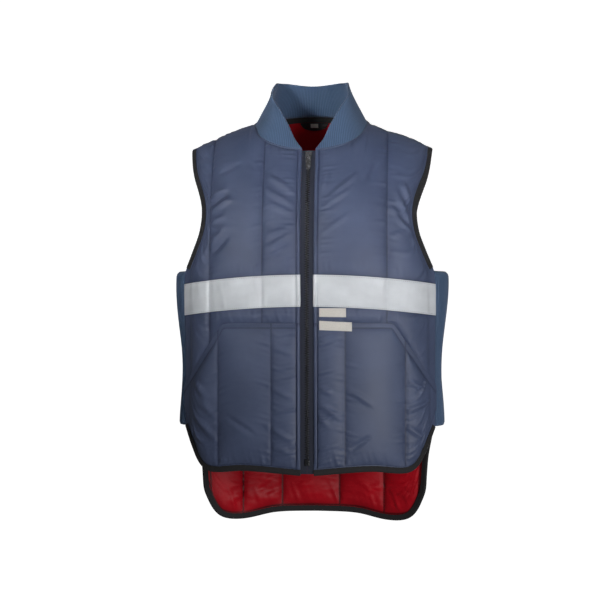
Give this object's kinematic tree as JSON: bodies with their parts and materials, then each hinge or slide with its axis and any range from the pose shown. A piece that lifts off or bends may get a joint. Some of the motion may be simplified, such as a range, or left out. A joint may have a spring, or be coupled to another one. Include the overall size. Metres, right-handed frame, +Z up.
{
  "type": "insulated work vest",
  "caption": "Quilted sleeveless work vest with rib-knit collar and side inserts, front zip, chest tape, hip pockets and a longer lined back.",
  "frame": {"origin": "midway between the two side-neck points, where the vest sits on the shoulders", "axes": "+Z up, -Y out of the front, +X to the right of someone who looks at the front"},
  "size_m": [0.4476, 0.2585, 0.7398],
  "materials": {
    "shell_nylon": "quilted nylon with a soft sheen",
    "lining_nylon": "quilted satin nylon",
    "rib_knit": "matt rib knit",
    "binding": "matt woven tape",
    "reflective_cloth": "silver reflective cloth",
    "zip_tape": "matt woven tape",
    "zip_plastic": "moulded plastic",
    "zip_metal": "black enamelled die casting",
    "label_cloth": "woven label"
  },
  "bodies": {
    "garment": {"front_shell_left": "shell_nylon", "front_shell_right": "shell_nylon", "back_shell": "shell_nylon", "pocket_left": "shell_nylon", "pocket_right": "shell_nylon", "front_lining_left": "lining_nylon", "front_lining_right": "lining_nylon", "back_lining": "lining_nylon", "collar": "rib_knit", "side_rib_left": "rib_knit", "side_rib_right": "rib_knit", "armhole_binding_left": "binding", "armhole_binding_right": "binding", "front_hem_binding_left": "binding", "front_hem_binding_right": "binding", "tail_binding": "binding", "neck_tape": "binding", "neck_label": "binding", "reflective_tape_left": "reflective_cloth", "reflective_tape_right": "reflective_cloth", "zip_tape_left": "zip_tape", "zip_tape_right": "zip_tape", "zip_chain": "zip_plastic", "zip_retainer": "zip_plastic", "zip_slider": "zip_metal", "label_upper": "label_cloth", "label_lower": "label_cloth", "size_tag": "label_cloth"},
    "pull_tab": {"zip_pull_tab": "zip_metal"}
  },
  "joints": [
    {"name": "puller_swing", "type": "hinge", "parent": "garment", "child": "pull_tab", "pos_m": [0, -0.08024, -0.05463], "axis": [-1, 0, 0], "range_deg": [0, 165]}
  ]
}
